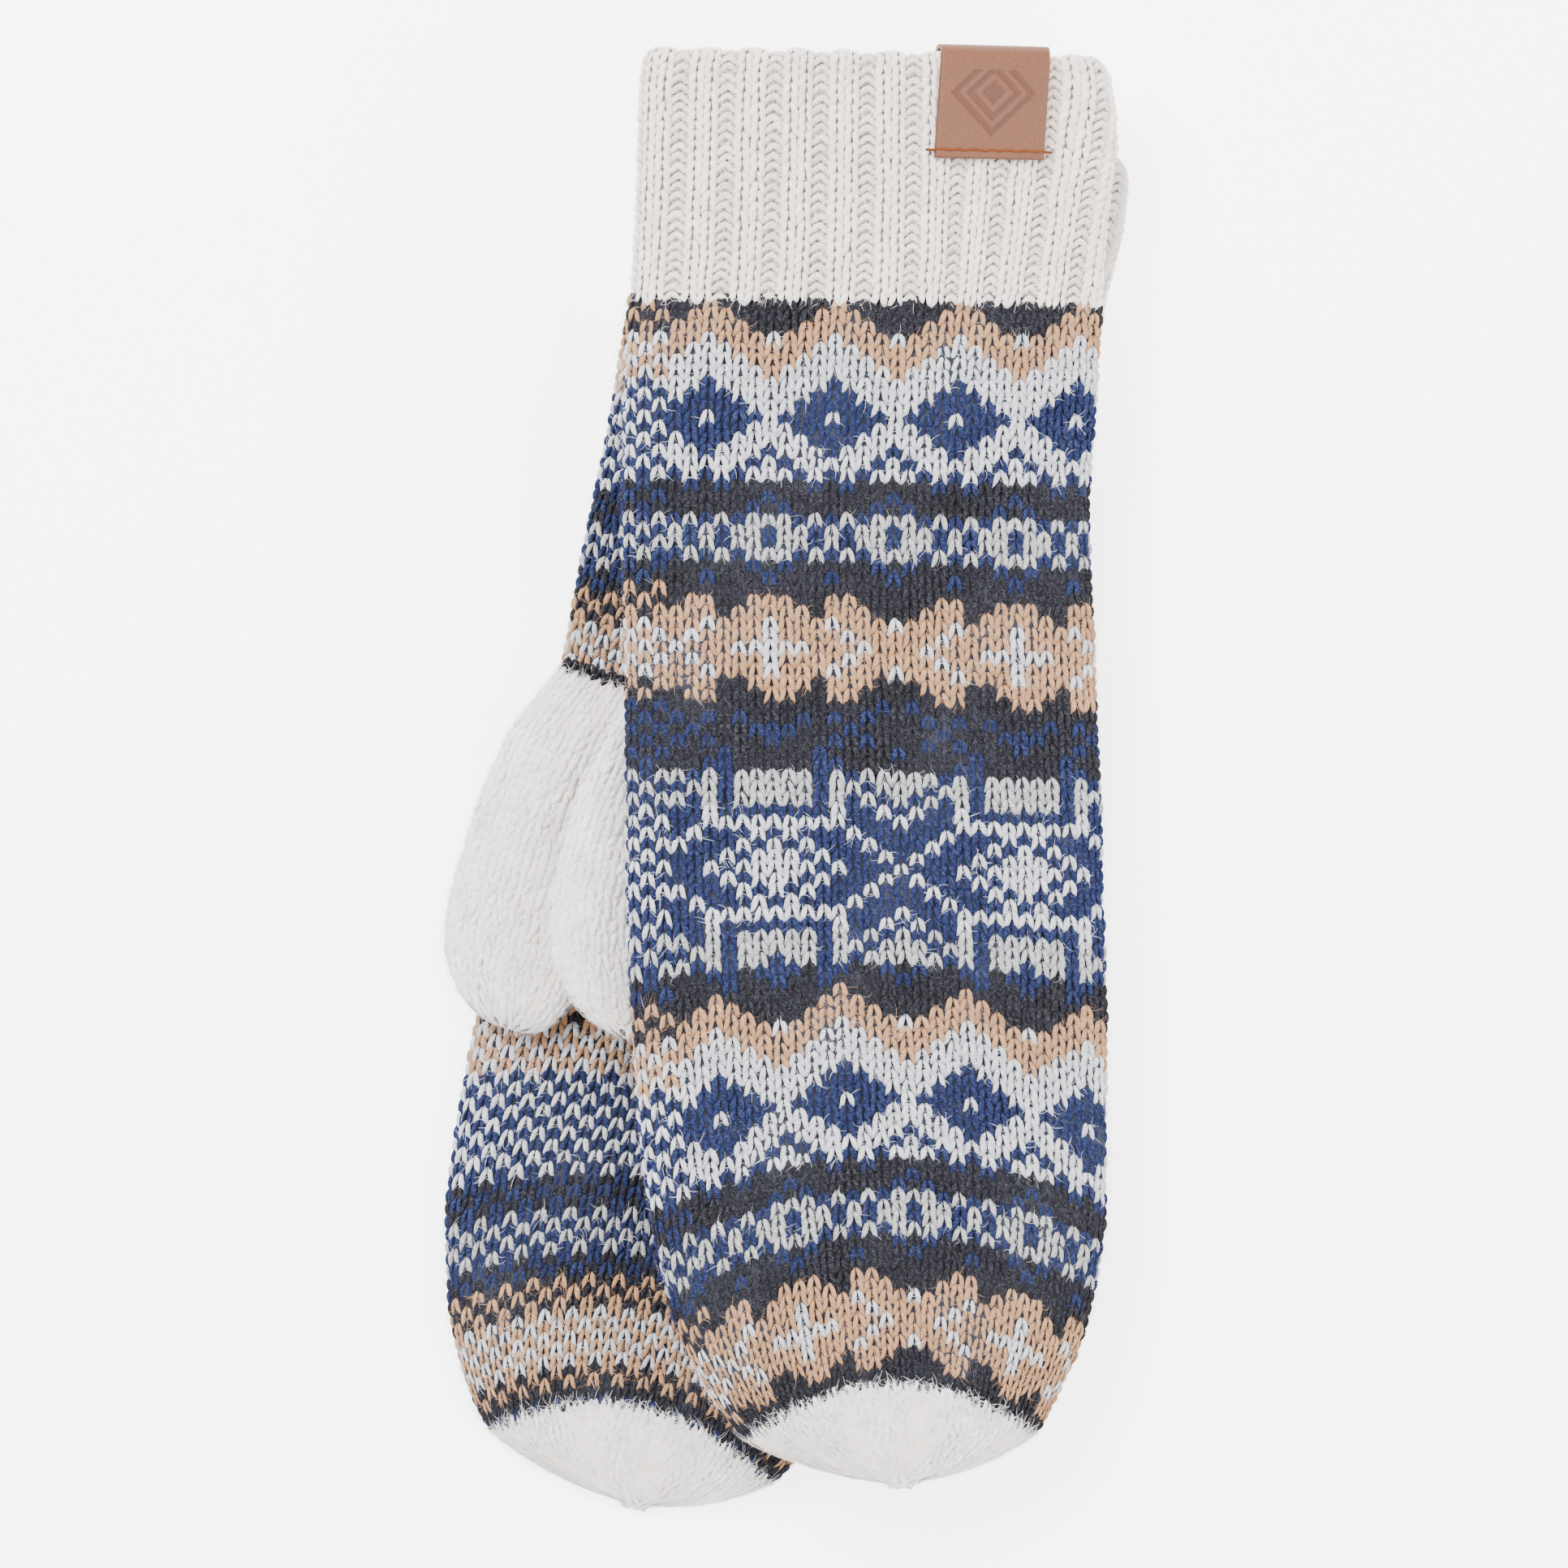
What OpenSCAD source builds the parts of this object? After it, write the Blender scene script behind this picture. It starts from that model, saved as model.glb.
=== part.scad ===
// Pair of knitted mittens, lying one on the other with both thumbs out on the left.
// Every measure is in millimetres. +Z is up, +Y runs towards the cuffs.

/* [Mitten body] */
// Half of the flat width of the hand
hand_half = 46.4; // [45.4:0.1:46.6]
// Half of the puffed thickness of the hand
hand_deep = 6.5; // [6.2:0.1:6.6]
// Length from the folded cuff edge to the tip
mitten_len = 276.8; // [276.8:0.1:278]
// Thickness of the patterned knitting
knit_wall = 1.7; // [1.5:0.1:1.7]
// Thickness of the soft lining
lining_wall = 1; // [0.8:0.1:1]

/* [Cuff] */
// Half of the flat width of the cuff
cuff_half = 45.6; // [44.8:0.1:45.8]
// Depth of the ribbed cuff
cuff_len = 48; // [47:0.1:48]
// Thickness of the folded-in layer
facing_wall = 1.3; // [1.1:0.1:1.3]

/* [Thumb] */
// Half of the flat width of the thumb
thumb_half = 15.3; // [14.6:0.1:15.4]
// Half of the puffed thickness of the thumb
thumb_deep = 5; // [4.9:0.1:5]
// Thickness of the thumb knitting
thumb_wall = 1.3; // [1.2:0.1:1.3]
// Thickness of the thumb lining
thumb_lining_wall = 0.5; // [0.4:0.1:0.5]

/* [Leather patch] */
// Width of the leather patch
patch_w = 22; // [20:0.5:23]
// Depth of the leather patch on the cuff
patch_d = 21; // [20.6:0.1:22]
// Thickness of the leather
leather_t = 1.3; // [1:0.1:1.3]

/* [Part to show] */
// Single piece to build, or all of them

/* [Hidden] */
gap = 0.1;
body_gap = 0.3;
square_power = 2.5;
ring_n = 32;
thumb_n = 24;
roll_left = 13;
left_z = 28.6;
thumb_roll = 17;
thumb2_z = 27.5;
thumb1_floor = 13.1;
turn_right = 10.7;
right_origin = [22.3, 130.7];
left_top = 141.5;
slit_s = [3, 15];
slit_half = 9;
cuff_col = [0.94, 0.91, 0.87];
facing_col = [0.88, 0.82, 0.77];
knit_col = [0.30, 0.35, 0.50];
white_col = [0.91, 0.90, 0.88];
lining_col = [0.70, 0.70, 0.69];
band_col = [0.25, 0.25, 0.27];
leather_col = [0.74, 0.54, 0.36];
thread_col = [0.22, 0.12, 0.08];

// ---- smooth tables ----
function seg(tab, x, i = 0) = (i >= len(tab) - 2 || x < tab[i + 1][0]) ? i : seg(tab, x, i + 1);
function slope(tab, i) =
    let (a = max(i - 1, 0), b = min(i + 1, len(tab) - 1))
    (tab[b][1] - tab[a][1]) / (tab[b][0] - tab[a][0]);
function smooth(tab, x) =
    let (xx = min(max(x, tab[0][0]), tab[len(tab) - 1][0]),
         i = seg(tab, xx),
         w = tab[i + 1][0] - tab[i][0],
         t = (xx - tab[i][0]) / w)
    (2*t*t*t - 3*t*t + 1) * tab[i][1] + (t*t*t - 2*t*t + t) * w * slope(tab, i)
    + (3*t*t - 2*t*t*t) * tab[i + 1][1] + (t*t*t - t*t) * w * slope(tab, i + 1);

// share of the hand's half width and half thickness, along the mitten
wide_tab = [[44, 0.996], [50, 1.002], [84, 0.99], [115, 0.992], [147, 1.004], [194, 1.0],
            [225, 0.962], [240, 0.905], [249, 0.85], [257, 0.772], [263, 0.7], [267.7, 0.62],
            [271, 0.5], [274, 0.345], [276, 0.185], [276.8, 0.07]];
deep_tab = [[44, 1], [90, 1], [225, 1], [250, 0.97], [260, 0.9], [268, 0.78],
            [273, 0.6], [276, 0.38], [276.8, 0.22]];
cuff_wide_tab = [[0, 0.955], [4, 0.98], [9, 0.988], [30, 1.0], [50, 1.012]];
cuff_deep_tab = [[0, 0.97], [4, 0.99], [9, 1], [50, 1]];
left_x_tab = [[0, 16.7], [40, 16.3], [60, 15.2], [84, 14.4], [115, 14.8], [147, 15.6],
              [194, 16.9], [225, 18.6], [249, 19.1], [263, 19.8], [276.8, 22.7]];
left_drop_tab = [[0, 0], [210, 0], [240, 0.6], [262, 2.2], [276.8, 4.2]];
right_shift_tab = [[0, 0.6], [30, 0.8], [56, 0.8], [112, 0.4], [160, -1.4], [190, -2.6],
                   [224, -3.2], [249, -3.3], [268, -2.8], [276.8, 0]];
right_rise_tab = [[0, 8.0], [30, 7.9], [50, 7.3], [75, 6.35], [95, 6.2], [225, 6.2],
                  [250, 6.0], [260, 5.55], [268, 4.8], [273, 3.6], [276, 2.2], [276.8, 1.2]];
thumb_wide_tab = [[0, 0.82], [3, 0.87], [8, 0.92], [15, 0.97], [30, 1.0], [43.5, 1.0],
                  [55, 0.975], [61, 0.88], [65, 0.735], [68, 0.54], [70, 0.3], [70.8, 0.13]];
thumb_deep_tab = [[0, 0.5], [3, 0.66], [6, 0.8], [10, 0.92], [16, 1.0], [55, 1.0],
                  [61, 0.95], [65, 0.85], [68, 0.69], [70, 0.46], [70.8, 0.25]];
thumb1_bend_tab = [[0, 0], [15, -3.3], [30, -4.3], [43.5, -4.1], [55, -3.4], [63.6, -2.1],
                   [70.8, 0]];
thumb2_bend_tab = [[0, 0], [14.1, -2.3], [29.2, -5.2], [42.2, -5.9], [53.2, -4.9],
                   [61.7, -2.9], [70.8, 0]];

stretch = mitten_len / 276.8;
function hand_wide(s) = hand_half * smooth(wide_tab, s / stretch);
function hand_thick(s) = hand_deep * smooth(deep_tab, s / stretch);
function cuff_wide(s) = cuff_half * smooth(cuff_wide_tab, s);
function cuff_thick(s) = 6.5 * smooth(cuff_deep_tab, s);
function thumb_wide(s) = thumb_half * smooth(thumb_wide_tab, s);
function thumb_thick(s) = thumb_deep * smooth(thumb_deep_tab, s);

// ---- frames: along the mitten, across it, and out of its flat plane ----
left_place = function (s, t, n)
    [smooth(left_x_tab, s) + t + n * sin(roll_left),
     left_top - s,
     left_z - smooth(left_drop_tab, s) - (t + smooth(left_x_tab, s) - 16) * tan(roll_left)
     + n * cos(roll_left)];
right_place = function (s, t, n)
    let (q = t + smooth(right_shift_tab, s))
    [right_origin[0] - s * sin(turn_right) + q * cos(turn_right),
     right_origin[1] - s * cos(turn_right) - q * sin(turn_right),
     max(0, smooth(right_rise_tab, s) + n)];
thumb1_base = [-31.9, 19.0];
thumb1_turn = 18.36;
thumb1_place = function (s, t, n)
    let (q = t + smooth(thumb1_bend_tab, s))
    [thumb1_base[0] - s * sin(thumb1_turn) + q * cos(thumb1_turn),
     thumb1_base[1] - s * cos(thumb1_turn) - q * sin(thumb1_turn),
     thumb1_floor + thumb_thick(s) + n];
thumb2_base = [-15.3, 19.0, thumb2_z - (29.5 - 15.3) * tan(thumb_roll)];
thumb2_turn = 12.07;
up2 = [sin(thumb_roll), 0, cos(thumb_roll)];
raw2 = [-sin(thumb2_turn), -cos(thumb2_turn), sin(thumb2_turn) * tan(thumb_roll)];
along2 = raw2 / norm(raw2);
across2 = cross(up2, along2);
side2 = across2[0] > 0 ? across2 : -across2;
thumb2_place = function (s, t, n)
    thumb2_base + along2 * s + side2 * (t * 1.03 + smooth(thumb2_bend_tab, s))
    + up2 * (n + thumb_deep - thumb_thick(s));

// ---- closed lofts ----
function bow(c) = sign(c) * pow(abs(c), 2 / square_power);
function ring(place, s, w, h, n) =
    [for (k = [0 : n - 1]) place(s, w * bow(cos(360 * k / n)), h * bow(sin(360 * k / n)))];

module skin(rings, strip = false) {
    n = len(rings[0]);
    m = len(rings);
    pts = [for (r = rings) for (p = r) p];
    walls = [for (i = [0 : m - 2]) for (k = [0 : n - 1]) for (half = [0, 1])
        let (a = i * n + k, b = i * n + (k + 1) % n, c = a + n, d = b + n)
        half == 0 ? [a, d, b] : [a, c, d]];
    top = (m - 1) * n;
    pairs = [for (k = [0 : n / 2 - 2]) for (half = [0, 1])
        half == 0 ? [k, k + 1, n - 2 - k] : [k, n - 2 - k, n - 1 - k]];
    first = strip ? pairs : [[for (k = [0 : n - 1]) k]];
    last = strip ? [for (f = pairs) [top + f[0], top + f[2], top + f[1]]]
        : [[for (k = [0 : n - 1]) m * n - 1 - k]];
    polyhedron(points = pts, faces = concat(first, walls, last), convexity = 6);
}

module hand_loft(place, stations, inset) {
    skin([for (s = stations)
        ring(place, s, max(hand_wide(s) - inset, 1), max(hand_thick(s) - inset, 0.5), ring_n)]);
}

module cuff_loft(place, stations, inset) {
    skin([for (s = stations)
        ring(place, s, cuff_wide(s) - inset, cuff_thick(s) - inset, ring_n)]);
}

module thumb_loft(place, stations, inset) {
    skin([for (s = stations)
        ring(place, s, max(thumb_wide(s) - inset, 0.8), max(thumb_thick(s) - inset, 0.4), thumb_n)]);
}

// a six-sided block in a slanted frame
module slant_block(place, s0, s1, t0, t1, n0, n1) {
    skin([for (s = [s0, (s0 + s1) / 2, s1])
        [place(s, t1, n0), place(s, t1, n1), place(s, t0, n1), place(s, t0, n0)]]);
}

// ---- slits under the thumbs ----
thumb1_flat = function (s, t, n)
    let (p = thumb1_place(s, t, 0)) [p[0], p[1], thumb1_floor + thumb_deep + n];
thumb2_flat = function (s, t, n)
    thumb2_base + along2 * s + side2 * (t * 1.03 + smooth(thumb2_bend_tab, s)) + up2 * n;

module slit(left) {
    if (left)
        slant_block(thumb2_flat, slit_s[0], slit_s[1], -slit_half, slit_half, 1.0, 12);
    else
        slant_block(thumb1_flat, slit_s[0], slit_s[1], -slit_half, slit_half, -11.5, -1.0);
}

// ---- pieces, shared by both mittens ----
hand_stations = [48.3, 56, 70, 90, 115, 145, 175, 200, 215, 228, 238, 246, 253, 258.3];
crown_stations = [258.4, 262, 265.5, 268.5, 271.2, 273.4, 275.2, 276.3, 276.8];
thumb_stations = [0, 1.5, 4, 8, 14, 22, 32, 43.5, 53, 59, 63, 66, 68.4, 70, 70.8];

module cuff_rib(place) {
    difference() {
        skin([for (q = [[0, 1.5], [0.45, 0.65], [1.5, 0.05], [4, 0], [9, 0], [20, 0], [34, 0], [cuff_len, 0]])
            ring(place, q[0], cuff_wide(q[0]) - q[1], cuff_thick(q[0]) - q[1], ring_n)]);
        cuff_loft(place, [-1, 3], knit_wall + gap + facing_wall);
        cuff_loft(place, [2.2, 9, 25, cuff_len + 1], knit_wall);
    }
}

module cuff_facing(place) {
    difference() {
        cuff_loft(place, [2.3, 9, 25, cuff_len - 2], knit_wall + gap);
        cuff_loft(place, [1, 9, 25, cuff_len], knit_wall + gap + facing_wall);
    }
}

module cuff_seam(place) {
    difference() {
        cuff_loft(place, [cuff_len - 1.9, cuff_len - 0.4], knit_wall + gap);
        cuff_loft(place, [cuff_len - 3, cuff_len + 1], knit_wall + gap + facing_wall);
    }
}

module hand_knit(place, left) {
    difference() {
        hand_loft(place, hand_stations, 0);
        hand_loft(place, concat([46], hand_stations, [260]), knit_wall);
        slit(left);
    }
}

module crown(place) {
    difference() {
        hand_loft(place, crown_stations, 0);
        hand_loft(place, [256, 262, 266, 269.5, 272, 273.6], knit_wall);
    }
}

module hand_lining(place, left) {
    difference() {
        hand_loft(place, [50, 70, 90, 115, 145, 175, 200, 215, 228, 240, 250, 258, 264, 265.6],
                  knit_wall + gap);
        hand_loft(place, [48, 70, 90, 115, 145, 175, 200, 215, 228, 240, 250, 258, 264],
                  knit_wall + gap + lining_wall);
        slit(left);
    }
}

module thumb_knit(place, left) {
    difference() {
        thumb_loft(place, thumb_stations, 0);
        thumb_loft(place, [1.5, 4, 8, 14, 22, 32, 43.5, 53, 59, 63, 66, 68, 69], thumb_wall);
        slit(left);
    }
}

module thumb_lining(place, left) {
    difference() {
        thumb_loft(place, [1.6, 4, 8, 14, 22, 32, 43.5, 53, 59, 63, 66, 67.8, 68.6],
                   thumb_wall + gap);
        thumb_loft(place, [2.3, 4, 8, 14, 22, 32, 43.5, 53, 59, 63, 66, 67.6],
                   thumb_wall + gap + thumb_lining_wall);
        slit(left);
    }
}

module crown_ring() {
    rotate_extrude($fn = 28)
        translate([2.6, 0])
            circle(r = 0.7, $fn = 10);
}

// height of the cuff's face above its middle plane, at a given offset
function face_n(s, t, off) =
    (cuff_thick(s) + off) * pow(1 - pow(abs(t) / (cuff_wide(s) + off), square_power), 1 / square_power);

patch_mid = 22.8;
inside_off = -(knit_wall + gap + facing_wall + 0.3);
// each row: distance along, outer offset, inner offset, distance along for the inner offset
patch_path = [
    [patch_d, gap + leather_t, gap, patch_d],
    [12, gap + leather_t, gap, 12],
    [4, gap + leather_t, gap, 4],
    [0.6, 1.25, gap, 1.3],
    [-1.2, 0.1, -0.7, -0.15],
    [-1.75, -1.7, -1.7, -0.3],
    [-1.2, -4.1, -3.3, -0.15],
    [0.6, inside_off - 1.15, inside_off, 1.3],
    [4, inside_off - leather_t, inside_off, 4],
    [12, inside_off - leather_t, inside_off, 12],
    [patch_d, inside_off - leather_t, inside_off, patch_d]];

module patch(place, side) {
    t_list = [for (k = [0 : 8]) patch_mid + patch_w * (k / 8 - 0.5)];
    last = len(patch_path) - 1;
    rings = [for (t = t_list) concat(
        [for (q = patch_path) place(q[0], t, side * face_n(max(q[0], 0), t, q[1]))],
        [for (k = [last : -1 : 0])
            let (q = patch_path[k]) place(q[3], t, side * face_n(max(q[3], 0), t, q[2]))])];
    turned = side < 0 ? rings : [for (r = rings) [for (k = [len(r) - 1 : -1 : 0]) r[k]]];
    skin(turned, true);
}

// the stitch: a closed round loop of thread over the patch, round its edges and back inside
thread_r = 0.25;
function thread_path(s) =
    let (t0 = patch_mid - patch_w / 2 - 1.5,
         t1 = patch_mid + patch_w / 2 + 1.5,
         top = gap + leather_t - 0.16,
         low = inside_off - leather_t + 0.16)
    concat([for (k = [0 : 8]) let (t = t0 + (t1 - t0) * k / 8) [t, face_n(s, t, top)]],
           [for (k = [8 : -1 : 0]) let (t = t0 + (t1 - t0) * k / 8) [t, face_n(s, t, low)]]);

module patch_thread(place, side) {
    row = patch_d - 1.6;
    path = thread_path(row);
    m = len(path);
    q = 8;
    pts = [for (k = [0 : m - 1])
        let (before = path[(k + m - 1) % m], after = path[(k + 1) % m], d = after - before,
             out = [-d[1], d[0]] / norm(d))
        for (j = [0 : q - 1])
            let (c = thread_r * cos(360 * j / q), v = thread_r * sin(360 * j / q))
            place(row + v, path[k][0] + c * out[0], side * (path[k][1] + c * out[1]))];
    walls = [for (k = [0 : m - 1]) for (j = [0 : q - 1]) for (half = [0, 1])
        let (a = k * q + j, b = k * q + (j + 1) % q, k2 = (k + 1) % m,
             c = k2 * q + j, d = k2 * q + (j + 1) % q,
             f = half == 0 ? [a, d, b] : [a, c, d])
        side > 0 ? f : [f[0], f[2], f[1]]];
    polyhedron(points = pts, faces = walls, convexity = 6);
}

module band_right() {
    difference() {
        slant_block(thumb1_flat, 0.6, 17.4, -11.6, 11.6, -9.5, -thumb_deep - body_gap);
        hand_loft(right_place, [100, 115, 145, 160], -0.05);
        slit(false);
    }
}

module band_left() {
    difference() {
        slant_block(thumb2_flat, 0.6, 17.4, -11.6, 11.6, thumb_deep + body_gap, 9.5);
        hand_loft(left_place, [100, 115, 145, 160], -0.05);
        slit(true);
    }
}

module right_cuff_rib() { color(cuff_col) cuff_rib(right_place); }
module right_cuff_facing() { color(facing_col) cuff_facing(right_place); }
module right_cuff_seam() { color(cuff_col) cuff_seam(right_place); }
module right_hand_knit() { color(knit_col) hand_knit(right_place, false); }
module right_crown() { color(white_col) crown(right_place); }
module right_crown_yarn() {
    color(white_col)
        translate(right_place(269.8, 0, 0)) crown_ring();
}
module right_hand_lining() { color(lining_col) hand_lining(right_place, false); }
module right_thumb_band() { color(band_col) band_right(); }
module right_thumb_knit() { color(white_col) thumb_knit(thumb1_place, false); }
module right_thumb_lining() { color(lining_col) thumb_lining(thumb1_place, false); }
module right_patch() { color(leather_col) patch(right_place, -1); }
module right_patch_thread() { color(thread_col) patch_thread(right_place, -1); }
module left_cuff_rib() { color(cuff_col) cuff_rib(left_place); }
module left_cuff_facing() { color(facing_col) cuff_facing(left_place); }
module left_cuff_seam() { color(cuff_col) cuff_seam(left_place); }
module left_hand_knit() { color(knit_col) hand_knit(left_place, true); }
module left_crown() { color(white_col) crown(left_place); }
module left_crown_yarn() {
    color(white_col)
        translate(left_place(269.8, 0, 0)) rotate([0, roll_left, 0]) crown_ring();
}
module left_hand_lining() { color(lining_col) hand_lining(left_place, true); }
module left_thumb_band() { color(band_col) band_left(); }
module left_thumb_knit() { color(white_col) thumb_knit(thumb2_place, true); }
module left_thumb_lining() { color(lining_col) thumb_lining(thumb2_place, true); }
module left_patch() { color(leather_col) patch(left_place, 1); }
module left_patch_thread() { color(thread_col) patch_thread(left_place, 1); }

right_cuff_rib();
right_cuff_facing();
right_cuff_seam();
right_hand_knit();
right_crown();
right_crown_yarn();
right_hand_lining();
right_thumb_band();
right_thumb_knit();
right_thumb_lining();
right_patch();
right_patch_thread();
left_cuff_rib();
left_cuff_facing();
left_cuff_seam();
left_hand_knit();
left_crown();
left_crown_yarn();
left_hand_lining();
left_thumb_band();
left_thumb_knit();
left_thumb_lining();
left_patch();
left_patch_thread();
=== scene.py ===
import math

import bpy
import numpy as np
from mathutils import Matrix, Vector


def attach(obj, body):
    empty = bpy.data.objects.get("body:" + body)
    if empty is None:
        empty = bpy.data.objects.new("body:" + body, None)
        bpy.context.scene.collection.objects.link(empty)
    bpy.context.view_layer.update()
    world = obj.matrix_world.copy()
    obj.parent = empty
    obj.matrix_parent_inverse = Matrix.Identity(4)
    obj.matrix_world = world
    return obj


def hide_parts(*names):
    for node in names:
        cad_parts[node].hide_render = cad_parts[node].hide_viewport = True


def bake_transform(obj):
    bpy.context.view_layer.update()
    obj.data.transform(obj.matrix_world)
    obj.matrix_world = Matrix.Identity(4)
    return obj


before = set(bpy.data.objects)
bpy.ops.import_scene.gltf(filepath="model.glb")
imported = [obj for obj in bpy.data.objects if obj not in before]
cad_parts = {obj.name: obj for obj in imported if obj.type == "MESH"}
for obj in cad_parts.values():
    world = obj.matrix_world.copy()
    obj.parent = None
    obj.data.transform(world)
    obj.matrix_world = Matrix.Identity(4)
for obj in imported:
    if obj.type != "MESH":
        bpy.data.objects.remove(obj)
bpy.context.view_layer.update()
rng = np.random.default_rng(11)
MM = 0.001
COLUMNS = 64           # stitches round the hand
MIDDLE_COLUMN = 6.2    # the column at the middle of the back of the hand
FIRST_ROW = 49.4       # how far the first patterned row is from the cuff's edge
ROW_PITCH = 2.162
CUFF_END_Y = 141.5     # y of the upper mitten's cuff edge
TIP_BACKING = 276.6

# ------------------------------------------------------------------ the mittens' surfaces, in mm
WIDE = [[44, 0.996], [50, 1.002], [84, 0.99], [115, 0.992], [147, 1.004], [194, 1.0],
        [225, 0.962], [240, 0.905], [249, 0.85], [257, 0.772], [263, 0.7], [267.7, 0.62],
        [271, 0.5], [274, 0.345], [276, 0.185], [276.8, 0.07]]
DEEP = [[44, 1], [90, 1], [225, 1], [250, 0.97], [260, 0.9], [268, 0.78],
        [273, 0.6], [276, 0.38], [276.8, 0.22]]
CUFF_WIDE = [[0, 0.955], [4, 0.98], [9, 0.988], [30, 1.0], [50, 1.012]]
CUFF_DEEP = [[0, 0.97], [4, 0.99], [9, 1], [50, 1]]
LEFT_X = [[0, 16.7], [40, 16.3], [60, 15.2], [84, 14.4], [115, 14.8], [147, 15.6],
          [194, 16.9], [225, 18.6], [249, 19.1], [263, 19.8], [276.8, 22.7]]
LEFT_DROP = [[0, 0], [210, 0], [240, 0.6], [262, 2.2], [276.8, 4.2]]
RIGHT_SHIFT = [[0, 0.6], [30, 0.8], [56, 0.8], [112, 0.4], [160, -1.4], [190, -2.6],
               [224, -3.2], [249, -3.3], [268, -2.8], [276.8, 0]]
RIGHT_RISE = [[0, 8.0], [30, 7.9], [50, 7.3], [75, 6.35], [95, 6.2], [225, 6.2],
              [250, 6.0], [260, 5.55], [268, 4.8], [273, 3.6], [276, 2.2], [276.8, 1.2]]
THUMB_WIDE = [[0, 0.82], [3, 0.87], [8, 0.92], [15, 0.97], [30, 1.0], [43.5, 1.0],
              [55, 0.975], [61, 0.88], [65, 0.735], [68, 0.54], [70, 0.3], [70.8, 0.13]]
THUMB_DEEP = [[0, 0.5], [3, 0.66], [6, 0.8], [10, 0.92], [16, 1.0], [55, 1.0],
              [61, 0.95], [65, 0.85], [68, 0.69], [70, 0.46], [70.8, 0.25]]
THUMB1_BEND = [[0, 0], [15, -3.3], [30, -4.3], [43.5, -4.1], [55, -3.4], [63.6, -2.1], [70.8, 0]]
THUMB2_BEND = [[0, 0], [14.1, -2.3], [29.2, -5.2], [42.2, -5.9], [53.2, -4.9],
               [61.7, -2.9], [70.8, 0]]
# how far the rows at the sides lag behind the middle, by distance along the middle
LAG = [[0, 0], [158, 0], [168, 0.7], [179, 1.8], [201, 3.5], [222, 5.5], [235, 7.2],
       [244, 8.9], [257, 11.6], [262, 12], [280, 12]]
# how far the rows of the upper mitten sit lower than an even spacing, at its middle and right
ROW_DROP = [[40, 0], [62, 0.3], [89, 0.4], [116, 1.2], [142, 2.1], [169, 2.1], [196, 1.3],
            [222, 0.4], [249, 0.4], [257, 0], [280, 0]]
RIGHT_DROP = [[40, 0], [62, 0], [89, 0.9], [116, 2.2], [142, 1.9], [169, 1.3], [196, 0.3],
              [222, 0], [280, 0]]
HAND_HALF, HAND_DEEP, CUFF_HALF = 46.4, 6.5, 45.6
THUMB_HALF, THUMB_THICK = 15.3, 5.0
ROLL, TURN, THUMB_ROLL = math.radians(13), math.radians(10.7), math.radians(17)


def smooth(table, x):
    """A smooth curve through the table's points, held at its ends."""
    t = np.array(table, float)
    X, Y = t[:, 0], t[:, 1]
    n = len(X)
    a, b = np.maximum(np.arange(n) - 1, 0), np.minimum(np.arange(n) + 1, n - 1)
    m = (Y[b] - Y[a]) / (X[b] - X[a])
    x = np.clip(np.asarray(x, float), X[0], X[-1])
    i = np.clip(np.searchsorted(X, x, side="right") - 1, 0, n - 2)
    w = X[i + 1] - X[i]
    u = (x - X[i]) / w
    return ((2 * u**3 - 3 * u * u + 1) * Y[i] + (u**3 - 2 * u * u + u) * w * m[i]
            + (3 * u * u - 2 * u**3) * Y[i + 1] + (u**3 - u * u) * w * m[i + 1])


def left_place(s, t, n):
    """Upper mitten: s along from the cuff's edge, t across, n out of it, to x, y and z in mm."""
    x0 = smooth(LEFT_X, s)
    return np.stack([x0 + t + n * math.sin(ROLL), CUFF_END_Y - s,
                     28.6 - smooth(LEFT_DROP, s) - (t + x0 - 16) * math.tan(ROLL)
                     + n * math.cos(ROLL)], -1)


def right_place(s, t, n):
    q = t + smooth(RIGHT_SHIFT, s)
    return np.stack([22.3 - s * math.sin(TURN) + q * math.cos(TURN),
                     130.7 - s * math.cos(TURN) - q * math.sin(TURN),
                     np.maximum(0.05, smooth(RIGHT_RISE, s) + n)], -1)


def thumb1_place(s, t, n):
    a = math.radians(18.36)
    q = t + smooth(THUMB1_BEND, s)
    return np.stack([-31.9 - s * math.sin(a) + q * math.cos(a),
                     19.0 - s * math.cos(a) - q * math.sin(a),
                     13.1 + THUMB_THICK * smooth(THUMB_DEEP, s) + n], -1)


UP2 = np.array([math.sin(THUMB_ROLL), 0, math.cos(THUMB_ROLL)])
RAW2 = np.array([-math.sin(math.radians(12.07)), -math.cos(math.radians(12.07)),
                 math.sin(math.radians(12.07)) * math.tan(THUMB_ROLL)])
ALONG2 = RAW2 / np.linalg.norm(RAW2)
SIDE2 = np.cross(UP2, ALONG2)
SIDE2 = SIDE2 if SIDE2[0] > 0 else -SIDE2
BASE2 = np.array([-15.3, 19.0, 27.5 - 14.2 * math.tan(THUMB_ROLL)])


def thumb2_place(s, t, n):
    s = np.asarray(s, float)
    return (BASE2 + ALONG2 * s[..., None]
            + SIDE2 * (t * 1.03 + smooth(THUMB2_BEND, s))[..., None]
            + UP2 * (n + THUMB_THICK - THUMB_THICK * smooth(THUMB_DEEP, s))[..., None])


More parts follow.
